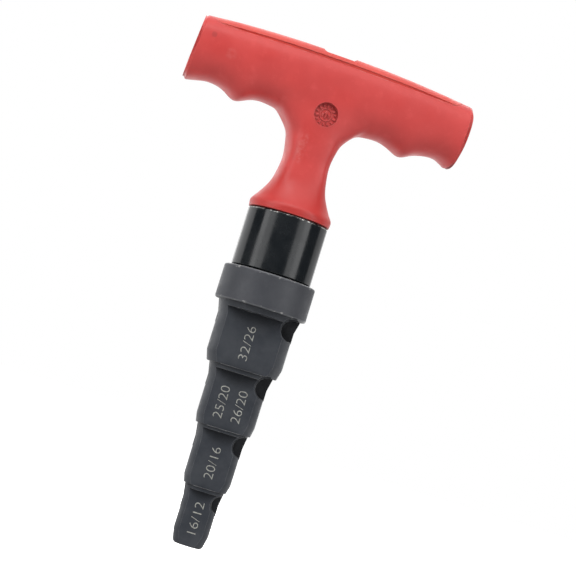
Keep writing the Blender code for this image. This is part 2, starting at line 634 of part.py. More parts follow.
make_mandrel(mandrel_axis, steels)
make_shank(mandrel_axis, steels)
make_detent(mandrel_axis, steels)
make_handle_root(mandrel_axis, steels)
make_grip(red)
make_strip(red)
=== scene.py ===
"""Looks for the deburring tool: detailed pieces, materials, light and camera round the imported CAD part.

Lengths are in millimetres in the functions below, and in metres once they reach a mesh. The row frame
has its origin at the centre of the mandrel's nose, +Z up the tool and the handle's front facing -Y.
"""
import math
from collections import namedtuple

import bmesh
import bpy
from mathutils import Matrix, Vector


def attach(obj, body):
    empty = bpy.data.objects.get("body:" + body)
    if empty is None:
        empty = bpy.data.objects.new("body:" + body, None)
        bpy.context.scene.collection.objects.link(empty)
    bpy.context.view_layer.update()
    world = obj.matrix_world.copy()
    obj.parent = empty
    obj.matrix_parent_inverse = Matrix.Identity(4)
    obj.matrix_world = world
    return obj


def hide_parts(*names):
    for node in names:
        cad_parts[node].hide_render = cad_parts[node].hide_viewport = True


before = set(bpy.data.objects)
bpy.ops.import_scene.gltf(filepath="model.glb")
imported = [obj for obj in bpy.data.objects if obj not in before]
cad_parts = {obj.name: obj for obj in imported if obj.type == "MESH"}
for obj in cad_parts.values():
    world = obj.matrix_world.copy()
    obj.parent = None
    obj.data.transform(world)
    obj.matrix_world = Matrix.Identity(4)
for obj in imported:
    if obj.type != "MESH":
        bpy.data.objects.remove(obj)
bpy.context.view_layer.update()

MM = 0.001
TURN = math.radians(-11.0)   # how the mandrel is clocked against the handle
FIT = 0.08                   # seam that shows between fitted pieces

# One step a pipe size: heights of its foot, of the barrel's start and end and of the shoulder above,
# then the radius at the foot, of the barrel and under the shoulder
Step = namedtuple("Step", "name foot start end top low_radius radius top_radius")
STEPS = (
    Step("16", 0.0, 4.6, 15.4, 19.6, 5.1, 5.92, 6.54),
    Step("20", 19.6, 22.5, 35.3, 39.6, 7.2, 7.93, 8.5),
    Step("26", 39.6, 42.7, 55.8, 60.0, 9.3, 9.92, 10.8),
    Step("32", 60.0, 63.6, 76.4, 80.7, 11.95, 12.92, 13.97),
)
NOSE_RADIUS, NOSE_CHAMFER = 4.5, 0.7
COLLAR_RADIUS, COLLAR_TOP, COLLAR_ROUND = 15.6, 92.3, 0.8
SHOULDER_FILLET, BARREL_EASE, START_EASE, FOOT_EASE = 1.1, 1.2, 0.5, 0.22
BLADE_HALF, BLADE_PROUD, BLADE_FOOT = 1.0, 0.1, 3.6
POCKETS = {                  # by step: (centre off the axis, centre z, radius)
    "16": (6.65, 15.4, 3.2), "20": (8.3, 35.6, 3.7),
    "26": (9.75, 56.25, 3.8), "32": (12.2, 76.85, 3.8),
}
FLATS = {                    # by step: (distance of the two milled flats from the axis, top z)
    "16": (4.3, 18.4), "20": (5.45, 38.6), "26": (6.6, 58.5), "32": (8.5, 78.8),
}
POCKET_CORNER, POCKET_CHAMFER = 0.55, 0.38
SCREW_RADIUS, SCREW_KEY, SCREW_DEPTH = 1.2, 1.5, 0.9
SCREW_INSET = 0.35           # how far a screw ends below its flat
SHANK_RADIUS, SHANK_FOOT = 5.0, 82.4
PIN_RADIUS, PIN_Z, PIN_FRONT = 1.5, 87.0, -7.4
FERRULE_RADIUS, FERRULE_FOOT, FERRULE_TOP, FERRULE_CHAMFER = 13.67, 92.6, 112.6, 0.35
BASE_Z, TANG_RADIUS, TANG_FOOT = 112.9, 12.0, 92.9
INSERT_HALF, INSERT_TOP = 8.0, 114.5         # room for the socket insert in the handle's root
BAR_Z, BAR_HALF, BAR_DEPTH = 158.4, 48.26, 10.4
END_SLANT, SLANT_START = (0.119, 0.05), 36.0     # the end faces run in towards the back
END_LEAN = (0.078, 0.03)     # and lean sideways going up; both are (left end, right end)
CROWN_Z, CROWN_DROP, CROWN_POWER = 169.35, 2.0, 2.2
UNDERSIDE = {                # (x, z) out from the neck, by side: -1 is left and 1 is right
    -1: ((13.5, 145.1), (16.5, 146.25), (19.6, 146.55), (22.8, 146.2), (25.9, 144.95), (28.8, 143.95),
         (31.6, 145.1), (34.4, 146.45), (38.8, 147.05), (42.8, 146.4), (46.3, 145.6)),
    1: ((13.5, 145.1), (16.7, 146.25), (20.0, 146.55), (23.5, 146.2), (27.0, 144.95), (30.0, 143.95),
        (32.8, 145.05), (35.5, 146.25), (39.4, 147.1), (43.5, 147.0), (46.9, 145.6)),
}
BAR_SQUARENESS = 2.5
END_CAP = ((47.2, 0.99), (47.87, 0.965), (48.21, 0.91))     # (distance out, size of the section)
FOOT_DRAW = (2.0, 0.8)       # how fast the section's foot shrinks there against its top: (left, right)
NECK_SPREAD = 4.2            # half the gap between the two rings above the neck
NECK = (                     # (z, half width, half depth, squareness)
    (141.3, 9.9, 9.0, 2.9), (137.3, 8.25, 8.7, 3.4), (132.5, 7.5, 8.5, 3.5), (127.5, 7.95, 8.7, 3.4),
    (123.2, 9.1, 9.6, 2.7), (119.6, 11.0, 11.2, 2.25), (116.8, 12.9, 12.9, 2.0),
    (114.6, 14.0, 14.0, 2.0), (111.0, 14.0, 14.0, 2.0), (106.0, 14.0, 14.0, 2.0),
)
FRONT_SHEET, SHEET_RISE = 9.5, 3.2           # where the bar's front and back run down into the neck
CLOCK_Z, CLOCK_RADIUS, CLOCK_DEPTH = 147.8, 4.1, 0.8
CLOCK_TICKS, CLOCK_REACH, CLOCK_RELIEF = 14, 3.5, 0.42
STRIP_HALF, STRIP_HALF_WIDTH, STRIP_CORNER = 44.4, 8.7, 5.0
STRIP_FLOOR, STRIP_RISE = 162.9, 0.5
NOTCH_HALF, NOTCH_DEPTH, NOTCH_EASE = 5.2, 1.6, 0.8
CAP_HEIGHT, CAP_OVERHANG, FLANGE = 2.6, 0.85, 2.3   # shadow groove under the strip's rim
ACROSS = 20.0                # far enough for a cutter to pass through the bar from front to back

# Size marks: (text, step, offset across the front, bottom z, length)
MARKS = (
    ("16/12", "16", 0.15, 4.4, 10.5),
    ("20/16", "20", 0.0, 22.95, 10.6),
    ("25/20", "26", -3.08, 42.75, 10.7),
    ("26/20", "26", 2.98, 42.75, 10.7),
    ("32/26", "32", -0.73, 63.0, 11.4),
)
MARK_HEIGHT, MARK_LIFT, MARK_THICKNESS = 3.0, 0.012, 0.03
MARK_OFFSET = -0.016         # thins the strokes, as a share of the font's size

FLOOR_Z = -24.6              # the floor clears the mandrel when it is pulled out
FLOOR_HALF = 4000.0

# The photograph's viewpoint
CAMERA_LENS, SENSOR_WIDTH = 119.45, 36.0
CAMERA_SPOT, CAMERA_TARGET = (-120.45, -618.35, 47.92), (6.61, -1.29, 90.42)
CAMERA_ROLL = math.radians(17.206)

# Strength of the white backdrop, as the camera sees it and as it lights the tool
WORLD_SEEN, WORLD_FILL = 1.0, 0.06

# Soft boxes round the tool: (name, azimuth and elevation in degrees, distance, width, height, watts).
# These lengths are in metres.
LAMPS = (
    ("box_left", -71.0, 20.0, 1.0, 0.3, 1.2, 2.8),
    ("fade_left", -53.0, 20.0, 1.0, 0.32, 1.2, 2.0),
    ("box_right", 49.0, 20.0, 1.0, 0.34, 1.2, 2.9),
    ("fade_right", 31.0, 20.0, 1.0, 0.3, 1.2, 1.7),
    ("back_left", -145.0, 14.0, 1.1, 1.3, 1.3, 5.4),
    ("back_right", 129.0, 14.0, 1.1, 1.3, 1.3, 3.2),
    ("back_middle", 169.0, 10.0, 1.1, 1.0, 1.3, 4.0),
    ("back_high", 169.0, 50.0, 1.2, 1.4, 0.9, 5.0),
    ("overhead", -11.0, 72.0, 1.2, 1.4, 1.2, 6.0),
    ("key", -24.0, 50.0, 1.1, 0.6, 0.35, 3.6),
)
LAMP_AIM = (0.0, 0.0, 0.09)  # about the middle of the tool, in metres

GRIP_ROOT_SHADE = (121.0, 131.0)   # painted shade: the grip is darker below this stretch of its height
# Wear on the grip: (centre, reach along each axis, range of the breaking noise, strength, colour)
PALE_RUB, DARK_SMUDGE = (0.76, 0.3, 0.27), (0.25, 0.04, 0.04)
GRIP_WEAR = (
    ((-4.4, -8.5, 135.5), (2.4, 4.0, 9.0), (0.36, 0.7), 0.3, PALE_RUB),
    ((-36.0, -10.0, 156.5), (3.0, 4.0, 3.0), (0.36, 0.7), 0.14, PALE_RUB),
    ((-43.1, -9.5, 160.6), (1.5, 5.0, 1.5), (0.25, 0.5), 0.33, DARK_SMUDGE),
)

scene = bpy.context.scene
CUTTERS = bpy.data.collections.new("cutters")
scene.collection.children.link(CUTTERS)


# ---------------------------------------------------------------- mesh helpers

def mesh_of(name, points, faces):
    """A mesh from points in millimetres, its faces turned outwards."""
    mesh = bpy.data.meshes.new(name)
    mesh.from_pydata([Vector(p) * MM for p in points], [], faces)
    work = bmesh.new()
    work.from_mesh(mesh)
    bmesh.ops.recalc_face_normals(work, faces=work.faces)
    work.to_mesh(mesh)
    work.free()
    return mesh


def lathe(name, profile, segments=192, ring=False):
    """Turn (radius, z) points about Z."""
    points, rows, faces = [], [], []
    for radius, z in profile:
        if radius < 1e-6:
            rows.append([len(points)] * segments)
            points.append((0.0, 0.0, z))
            continue
        rows.append([len(points) + i for i in range(segments)])
        for i in range(segments):
            angle = 2 * math.pi * i / segments
            points.append((radius * math.cos(angle), radius * math.sin(angle), z))
    pairs = list(zip(rows, rows[1:])) + ([(rows[-1], rows[0])] if ring else [])
    for a, b in pairs:
        for i in range(segments):
            j = (i + 1) % segments
            corners = list(dict.fromkeys((a[i], a[j], b[j], b[i])))
            if len(corners) > 2:
                faces.append(corners)
    return mesh_of(name, points, faces)


def eased(corners, steps=5):
    """A polyline of (radius, z, rounding) corners with each corner turned into an arc."""
    points = []
    last = len(corners) - 1
    for k, (radius, z, easing) in enumerate(corners):
        here = Vector((radius, z))
        if easing <= 0 or k in (0, last):
            points.append((radius, z))
            continue
        back = Vector(corners[k - 1][:2]) - here
        ahead = Vector(corners[k + 1][:2]) - here
        reach = min(easing, back.length * 0.45, ahead.length * 0.45)
        a, b = here + back.normalized() * reach, here + ahead.normalized() * reach
        for i in range(steps + 1):
            t = i / steps
            spot = a * (1 - t) ** 2 + here * 2 * t * (1 - t) + b * t ** 2
            points.append((spot.x, spot.y))
    return points


def prism(name, outline, low, high):
    """A flat outline of (x, y) points standing between two heights."""
    n = len(outline)
    points = [(x, y, low) for x, y in outline] + [(x, y, high) for x, y in outline]
    faces = [tuple(range(n))[::-1], tuple(range(n, 2 * n))]
    faces += [(i, (i + 1) % n, n + (i + 1) % n, n + i) for i in range(n)]
    return mesh_of(name, points, faces)


def standing(mesh):
    """Turn a mesh made in the XY plane up into the XZ plane, its height running to -Y."""
    mesh.transform(Matrix.Rotation(math.pi / 2, 4, "X"))
    return mesh


def placed(mesh, x=0.0, y=0.0, z=0.0, turn=0.0, axis="Z"):
    """Turn a mesh about an axis through the origin, then move it."""
    mesh.transform(Matrix.Translation(Vector((x, y, z)) * MM) @ Matrix.Rotation(turn, 4, axis))
    return mesh


def polygon(count, half_flats, turn=0.0):
    """A regular polygon, given half its distance across flats."""
    reach = half_flats / math.cos(math.pi / count)
    return [(reach * math.cos(turn + 2 * math.pi * i / count),
             reach * math.sin(turn + 2 * math.pi * i / count)) for i in range(count)]


def rounded_outline(half_length, half_width, corner, steps=10):
    """A rectangle with round corners."""
    points = []
    for quarter, (sx, sy) in enumerate(((1, -1), (1, 1), (-1, 1), (-1, -1))):
        for i in range(steps + 1):
            angle = math.pi / 2 * (quarter - 1 + i / steps)
            points.append((sx * (half_length - corner) + corner * math.cos(angle),
                           sy * (half_width - corner) + corner * math.sin(angle)))
    return points


def box(name, low, high):
    (x0, y0, z0), (x1, y1, z1) = low, high
    return prism(name, [(x0, y0), (x1, y0), (x1, y1), (x0, y1)], z0, z1)


def shown(name, mesh):
    """A new visible piece."""
    made = bpy.data.objects.new(name, mesh)
    scene.collection.objects.link(made)
    return made


def evaluated(target):
    """The target's mesh with its modifiers applied."""
    graph = bpy.context.evaluated_depsgraph_get()
    mesh = bpy.data.meshes.new_from_object(target.evaluated_get(graph))
    target.modifiers.clear()
    target.data = mesh
    return mesh


def cut(target, meshes, operation="DIFFERENCE"):
    """Cut each mesh out of the target, or join or intersect it, and apply the result."""
    for mesh in meshes:
        tool = bpy.data.objects.new("tool_" + mesh.name, mesh)
        CUTTERS.objects.link(tool)
        change = target.modifiers.new("change", "BOOLEAN")
        change.operation, change.solver, change.object = operation, "EXACT", tool
        evaluated(target)
        bpy.data.objects.remove(tool)


def finished(target, angle=32.0):
    """Smooth shading, with edges kept sharp above an angle in degrees."""
    target.data.shade_smooth()
    target.data.set_sharp_from_angle(angle=math.radians(angle))
    even = target.modifiers.new("even_normals", "WEIGHTED_NORMAL")
    even.keep_sharp = True


def joined(name, meshes):
    """One mesh from several."""
    work = bmesh.new()
    for mesh in meshes:
        work.from_mesh(mesh)
    made = bpy.data.meshes.new(name)
    work.to_mesh(made)
    work.free()
    return made


# ---------------------------------------------------------------- materials

class Recipe:
    """A Principled material under construction."""

    def __init__(self, name):
        self.material = bpy.data.materials.new(name)
        self.material.use_nodes = True
        self.tree = self.material.node_tree
        self.shader = self.tree.nodes["Principled BSDF"]
        self.place = self.node("ShaderNodeTexCoord").outputs["Object"]

    def node(self, kind, values=(), **settings):
        """A new node with its settings, and a constant or a link for each input named."""
        made = self.tree.nodes.new(kind)
        for key, value in settings.items():
            setattr(made, key, value)
        for key, value in dict(values).items():
            self.feed(made.inputs[key], value)
        return made

    def feed(self, socket, value):
        if isinstance(value, bpy.types.NodeSocket):
            self.tree.links.new(value, socket)
        else:
            socket.default_value = value

    def stretched(self, x, y, z):
        """The object's own coordinates, scaled along each axis."""
        return self.node("ShaderNodeMapping", {"Vector": self.place, "Scale": (x, y, z)}).outputs[0]

    def noise(self, scale, detail=3.0, roughness=0.55, where=None):
        made = self.node("ShaderNodeTexNoise", {"Vector": where or self.place, "Scale": scale,
                                                "Detail": detail, "Roughness": roughness})
        return made.outputs["Fac"]

    def speckle(self, scale):
        """Distance from the nearest of some scattered points."""
        made = self.node("ShaderNodeTexVoronoi", {"Vector": self.place, "Scale": scale})
        return made.outputs["Distance"]

    def ramp(self, value, low, high, bottom=0.0, top=1.0):
        """Ease from bottom to top while the value runs from low to high."""
        made = self.node("ShaderNodeMapRange", {"Value": value, "From Min": low, "From Max": high,
                                                "To Min": bottom, "To Max": top})
        made.interpolation_type = "SMOOTHSTEP"
        return made.outputs[0]

    def math(self, operation, a, b=0.0):
        made = self.node("ShaderNodeMath", operation=operation)
        self.feed(made.inputs[0], a)
        self.feed(made.inputs[1], b)
        return made.outputs[0]

    def mix(self, share, a, b):
        made = self.node("ShaderNodeMix", data_type="RGBA")
        self.feed(made.inputs["Factor"], share)
        for index, colour in ((6, a), (7, b)):
            self.feed(made.inputs[index], colour if isinstance(colour, bpy.types.NodeSocket)
                      else (*colour, 1.0))
        return made.outputs[2]

    def layer(self, tone, mask, strength, colour):
        """Lay a colour over the tone at some strength, where the mask is 1."""
        return self.mix(self.math("MULTIPLY", mask, strength), tone, colour)

    def coordinate(self, index):
        """0 to 2: the object's x, y or z, in metres."""
        return self.node("ShaderNodeSeparateXYZ", {"Vector": self.place}).outputs[index]

    def off_axis(self):
        """Distance from the tool's axis, in metres."""
        flat = self.node("ShaderNodeVectorMath", {0: self.place, 1: (1.0, 1.0, 0.0)}, operation="MULTIPLY")
        return self.node("ShaderNodeVectorMath", {0: flat.outputs[0]}, operation="LENGTH").outputs["Value"]

    def near(self, value, target, reach):
        """1 at the target, falling to 0 at the reach on both sides."""
        return self.ramp(self.math("ABSOLUTE", self.math("SUBTRACT", value, target)), 0.0, reach, 1.0, 0.0)

    def edges(self, radius, low=0.02, high=0.35):
        """Where the surface turns sharply within the radius."""
        soft = self.node("ShaderNodeBevel", {"Radius": radius * MM}, samples=6).outputs[0]
        true = self.node("ShaderNodeNewGeometry").outputs["Normal"]
        dot = self.node("ShaderNodeVectorMath", {0: soft, 1: true}, operation="DOT_PRODUCT")
        return self.ramp(self.math("SUBTRACT", 1.0, dot.outputs["Value"]), low, high)

    def hidden(self, distance, low, high):
        """1 close under ledges and in recesses, 0 on surfaces that are open upwards and outwards: the mask
        for painted shade.
        """
        normal = self.node("ShaderNodeNewGeometry").outputs["Normal"]
        raised = self.node("ShaderNodeVectorMath", {0: normal, 1: (0.0, 0.0, 1.1)}, operation="ADD")
        outward = self.node("ShaderNodeVectorMath", {0: raised.outputs[0]}, operation="NORMALIZE")
        sky = self.node("ShaderNodeAmbientOcclusion",
                        {"Distance": distance * MM, "Normal": outward.outputs[0]}, samples=6)
        return self.ramp(sky.outputs["AO"], low, high, 1.0, 0.0)

    def rubbed_patch(self, spot, reach, low, high):
        """A broken patch of wear round a spot, both in millimetres."""
        share = None
        for index in range(3):
            near = self.near(self.coordinate(index), spot[index] * MM, reach[index] * MM)
            share = near if share is None else self.math("MULTIPLY", share, near)
        broken = self.ramp(self.noise(480.0, 5.0, 0.7), low, high)
        return self.math("MULTIPLY", self.ramp(share, 0.1, 0.6), broken)

    def bump(self, height, distance, strength, soften=None):
        """Fine relief, with edges rounded by a softening radius if one is given."""
        values = {"Height": height, "Distance": distance * MM, "Strength": strength}
        if soften is not None:
            values["Normal"] = self.node("ShaderNodeBevel", {"Radius": soften * MM}, samples=6).outputs[0]
        self.feed(self.shader.inputs["Normal"], self.node("ShaderNodeBump", values).outputs[0])

    def finish(self, **inputs):
        """Feed the Principled shader, whose input names are written with _ for a space."""
        for key, value in inputs.items():
            self.feed(self.shader.inputs[key.replace("_", " ")], value)
        return self.material


def moulded_red(name, colour, light, shade, depth):
    """Spark-textured red moulding with scuffs, paler edges that are partly fading and partly painted
    highlight, painted shade in recesses and low on the neck, and sharp painted edge highlights.
    """
    r = Recipe(name)
    tone = r.mix(r.ramp(r.noise(55.0, 4.0), 0.35, 0.68), shade, colour)
    tone = r.layer(tone, r.ramp(r.noise(260.0, 5.0, 0.65), 0.5, 0.75), 0.35, light)
    # paler edges: partly fading of the plastic, partly a painted highlight
    faded_edge_highlight = r.math("MULTIPLY", r.edges(0.6), r.ramp(r.noise(420.0, 3.0), 0.42, 0.62))
    tone = r.layer(tone, faded_edge_highlight, 0.45, (0.72, 0.25, 0.22))
    # painted shade: the grip darkens low down, where the neck flares into the base
    root_shade = r.ramp(r.coordinate(2), GRIP_ROOT_SHADE[0] * MM, GRIP_ROOT_SHADE[1] * MM, 1.0, 0.0)
    tone = r.layer(tone, root_shade, 0.85, (0.54, 0.034, 0.029))
    scuffs = r.ramp(r.noise(90.0, 6.0, 0.7, r.stretched(1.0, 1.0, 0.12)), 0.66, 0.74)
    tone = r.layer(tone, scuffs, 0.3, (0.68, 0.2, 0.18))
    dots = r.ramp(r.speckle(330.0), 0.05, 0.02)
    specks = r.math("MULTIPLY", dots, r.ramp(r.noise(70.0, 2.0), 0.58, 0.66))
    tone = r.layer(tone, specks, 0.6, (0.2, 0.03, 0.03))
    for spot, reach, (low, high), strength, stain in GRIP_WEAR:
        tone = r.layer(tone, r.rubbed_patch(spot, reach, low, high), strength, stain)
    # painted shade: darker red under ledges and in recesses, as strong as the depth given
    tone = r.layer(tone, r.hidden(1.1, 0.35, 0.95), depth, (0.3, 0.018, 0.018))
    # painted highlight: pale thin lines along sharp edges
    crisp_edge_highlight = r.math("MULTIPLY", r.edges(0.14, 0.05, 0.3), r.ramp(r.noise(300.0, 3.0), 0.3, 0.55))
    tone = r.layer(tone, crisp_edge_highlight, 0.5, (0.85, 0.3, 0.27))
    grain, orange_peel = r.noise(5200.0, 2.0, 0.6), r.noise(900.0, 2.0)
    height = r.math("ADD", r.math("MULTIPLY", grain, 0.5), r.math("MULTIPLY", orange_peel, 0.5))
    r.bump(height, 0.05, 0.55, 0.22)
    rough = r.ramp(r.noise(150.0, 4.0), 0.3, 0.7, 0.36, 0.5)
    return r.finish(Base_Color=tone, Roughness=rough, Specular_IOR_Level=0.5)


def chips(r, heights, reach, scale, radius, low, high):
    """Small bright chips scattered along the outer rims at some heights."""
    band = None
    for height in heights:
        near = r.near(r.coordinate(2), height * MM, reach * MM)
        band = near if band is None else r.math("MAXIMUM", band, near)
    outside = r.ramp(r.off_axis(), (radius - 0.9) * MM, (radius - 0.3) * MM)
    broken = r.math("MULTIPLY", r.ramp(r.noise(scale, 5.0, 0.7), low, high), outside)
    return r.math("MULTIPLY", r.ramp(band, 0.25, 0.6), broken)


def blackened_steel():
    """Dark phosphated body: turning marks, cloudy finish and bare metal where edges are chipped, with
    painted shadow under ledges, painted light on the stop band above the steps and painted highlights along
    edges.
    """
    r = Recipe("blackened_steel")
    collar_foot = STEPS[-1].top
    tone = r.mix(r.ramp(r.noise(85.0, 5.0, 0.62), 0.36, 0.66), (0.034, 0.039, 0.049), (0.053, 0.058, 0.068))
    smears = r.ramp(r.noise(120.0, 5.0, 0.7, r.stretched(1.0, 1.0, 0.25)), 0.58, 0.72)
    tone = r.layer(tone, smears, 0.22, (0.085, 0.088, 0.095))
    # painted light: the collar is made lighter than the steps below it
    collar_painted_light = r.ramp(r.coordinate(2), (collar_foot - 0.7) * MM, (collar_foot + 0.2) * MM)
    tone = r.layer(tone, collar_painted_light, 0.5, (0.083, 0.084, 0.094))
    # painted shadow: near black under ledges, darkest under the top edges of the flats
    tone = r.mix(r.hidden(5.0, 0.35, 0.8), tone, (0.006, 0.008, 0.012))
    # painted highlight: soft pale lines along the edges
    soft = r.math("MULTIPLY", r.edges(0.22, 0.006, 0.05), r.ramp(r.noise(260.0, 3.0), 0.25, 0.6))
    tone = r.layer(tone, soft, 0.55, (0.16, 0.165, 0.175))
    # painted highlight: continuous pale lines round the collar's top and bottom rounding
    rims = r.math("MAXIMUM", r.near(r.coordinate(2), (collar_foot + 0.2) * MM, 0.5 * MM),
                  r.near(r.coordinate(2), (COLLAR_TOP - 0.2) * MM, 0.4 * MM))
    outside = r.ramp(r.off_axis(), (COLLAR_RADIUS - 0.8) * MM, (COLLAR_RADIUS - 0.3) * MM)
    rims = r.math("MULTIPLY", rims, outside)
    tone = r.layer(tone, rims, 0.7, (0.18, 0.185, 0.195))
    edge = r.edges(0.35, 0.02, 0.3)
    rubbed = r.math("MULTIPLY", edge, r.ramp(r.noise(380.0, 4.0), 0.36, 0.62))
    tone = r.layer(tone, rubbed, 0.75, (0.26, 0.265, 0.27))
    nicks = r.math("MULTIPLY", edge, r.ramp(r.noise(620.0, 4.0, 0.7), 0.61, 0.66))
    chipped = chips(r, (COLLAR_TOP - 0.35, collar_foot + 0.1), 1.0, 430.0, COLLAR_RADIUS, 0.57, 0.62)
    nicks = r.math("MAXIMUM", nicks, chipped)
    tone = r.mix(nicks, tone, (0.42, 0.42, 0.41))
    rings, grain = r.noise(1.0, 3.0, 0.6, r.stretched(60.0, 60.0, 5200.0)), r.noise(3800.0, 3.0, 0.65)
    height = r.math("ADD", r.math("MULTIPLY", rings, 0.35), r.math("MULTIPLY", grain, 0.65))
    r.bump(height, 0.03, 0.5, 0.16)
    rough = r.ramp(r.noise(210.0, 4.0), 0.3, 0.7, 0.42, 0.54)
    return r.finish(Base_Color=tone, Roughness=rough, Metallic=r.ramp(nicks, 0.0, 1.0, 0.1, 0.9),
                    Specular_IOR_Level=0.4)


def gloss_black():
    """Polished black sleeve with hairlines, and nicks along its upper rim."""
    r = Recipe("gloss_black_sleeve")
    tone = r.mix(r.ramp(r.noise(140.0, 4.0), 0.4, 0.65), (0.0085, 0.011, 0.0135), (0.014, 0.0165, 0.019))
    rim = r.math("MULTIPLY", r.edges(0.3, 0.02, 0.25), r.ramp(r.noise(300.0, 4.0), 0.4, 0.6))
    tone = r.layer(tone, rim, 0.35, (0.12, 0.125, 0.13))
    nicks = chips(r, (FERRULE_TOP - 0.1,), 0.9, 520.0, FERRULE_RADIUS, 0.47, 0.54)
    tone = r.mix(nicks, tone, (0.5, 0.5, 0.48))
    hairlines = r.noise(1.0, 4.0, 0.6, r.stretched(900.0, 900.0, 40.0))
    smudges = r.noise(95.0, 5.0, 0.65)
    r.bump(hairlines, 0.006, 0.4, 0.12)
    rough = r.ramp(smudges, 0.35, 0.7, 0.13, 0.24)
    return r.finish(Base_Color=tone, Roughness=rough, Metallic=r.ramp(nicks, 0.0, 1.0, 0.0, 0.8),
                    Specular_IOR_Level=0.55)


def ground_steel(name, dark, pale, rough, metallic, lines, worn=(0.3, 0.3, 0.3)):
    """Ground or bright steel: fine scratch lines one way, soft stains, and rubbed edges."""
    r = Recipe(name)
    tone = r.mix(r.ramp(r.noise(300.0, 4.0, 0.6), 0.35, 0.65), dark, pale)
    edge = r.math("MULTIPLY", r.edges(0.2), r.ramp(r.noise(700.0, 3.0), 0.4, 0.6))
    tone = r.layer(tone, edge, 0.5, worn)
    scratches = r.noise(1.0, 4.0, 0.65, r.stretched(*lines))
    r.bump(scratches, 0.012, 0.5, 0.08)
    return r.finish(Base_Color=tone, Metallic=metallic,
                    Roughness=r.ramp(scratches, 0.3, 0.7, rough - 0.06, rough + 0.08))


def mark_grey():
    """Laser-etched marks: pale, matt and slightly patchy."""
    r = Recipe("etched_mark")
    tone = r.mix(r.ramp(r.noise(1600.0, 4.0, 0.7), 0.36, 0.62), (0.25, 0.25, 0.23), (0.48, 0.48, 0.44))
    r.bump(r.noise(5000.0, 2.0), 0.01, 0.4)
    return r.finish(Base_Color=tone, Roughness=r.ramp(r.noise(900.0), 0.3, 0.7, 0.5, 0.65))


RED = moulded_red("red_grip_plastic", (0.69, 0.065, 0.059), (0.77, 0.1, 0.09), (0.62, 0.055, 0.051), 0.7)
STRIP_RED = moulded_red("red_strip_plastic", (0.75, 0.078, 0.056), (0.83, 0.115, 0.09),
                        (0.67, 0.065, 0.05), 0.0)
BODY_STEEL = blackened_steel()
SLEEVE = gloss_black()
BLADE_STEEL = ground_steel("ground_blade_steel", (0.019, 0.0205, 0.024), (0.034, 0.036, 0.041), 0.42, 0.35,
                           (2500.0, 400.0, 250.0), (0.12, 0.12, 0.12))
SCREW_STEEL = ground_steel("black_screw_steel", (0.022, 0.023, 0.025), (0.045, 0.046, 0.05), 0.4, 0.7,
                           (900.0, 900.0, 900.0))
DRIVE_STEEL = ground_steel("bright_drive_steel", (0.30, 0.30, 0.31), (0.42, 0.42, 0.43), 0.32, 1.0,
                           (700.0, 700.0, 6000.0), (0.6, 0.6, 0.6))
BALL_STEEL = ground_steel("polished_ball_steel", (0.52, 0.52, 0.53), (0.62, 0.62, 0.63), 0.2, 1.0,
                          (1500.0, 1500.0, 1500.0), (0.7, 0.7, 0.7))
MARK = mark_grey()


def dress(target, finish, body, slot, *nodes):
    """Give a new piece its material and its CAD body, and hide the CAD nodes that it stands for. The slot
    is not used.
    """
    target.data.materials.clear()
    target.data.materials.append(finish)
    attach(target, body)
    if nodes:
        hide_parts(*nodes)


# ---------------------------------------------------------------- mandrel

def body_profile():
    """Outline of the turned body, from the floor of the shank's bore round to the nose."""
    bore = SHANK_RADIUS + FIT
    corners = [(0.0, SHANK_FOOT - FIT, 0.0), (bore, SHANK_FOOT - FIT, 0.0), (bore, COLLAR_TOP - 0.4, 0.0),
               (bore + 0.4, COLLAR_TOP, 0.0), (COLLAR_RADIUS, COLLAR_TOP, COLLAR_ROUND),
               (COLLAR_RADIUS, STEPS[-1].top, COLLAR_ROUND)]
    for step in reversed(STEPS):
        corners += [(step.top_radius + 0.05, step.top, SHOULDER_FILLET),
                    (step.radius, step.end, BARREL_EASE), (step.radius, step.start, START_EASE)]
        if step.foot > 0.0:
            corners.append((step.low_radius, step.foot, FOOT_EASE))
    corners += [(STEPS[0].low_radius, NOSE_CHAMFER, 0.15), (NOSE_RADIUS, 0.0, 0.1), (0.0, 0.0, 0.0)]
    return eased(corners, 6)


def blade_outline(step, grow=0.0):
    """Front view of one blade: straight along the barrel, then flared along the cone."""
    half, wide = step.radius + BLADE_PROUD, step.top_radius + BLADE_PROUD
    low = step.end - BLADE_FOOT - grow
    if grow:
        half = wide = COLLAR_RADIUS
    right = [(half, low), (half, step.end), (wide, step.top + grow)]
    return right + [(-x, z) for x, z in reversed(right)]


def turned_to_front(mesh):
    """Clock a mandrel mesh against the handle."""
    mesh.transform(Matrix.Rotation(TURN, 4, "Z"))
    return mesh


def blade_z(step):
    """Height of a blade's middle, where its screw sits."""
    return (step.end - BLADE_FOOT + step.top) / 2


def bored(name, radius, length):
    """A round cutter from z = 0 up."""
    return lathe(name, [(0.0, 0.0), (radius, 0.0), (radius, length), (0.0, length)], 48)


def pocket_cutter(size, depth, length):
    """A round mill with eased corners, wider above the flat to chamfer the pocket's rim."""
    wide = size + POCKET_CHAMFER
    return lathe("pocket", eased([(0.0, 0.0, 0.0), (size, 0.0, POCKET_CORNER),
                                  (size, depth - POCKET_CHAMFER, 0.0), (wide, depth, 0.0),
                                  (wide, length, 0.0), (0.0, length, 0.0)], 5), 96)


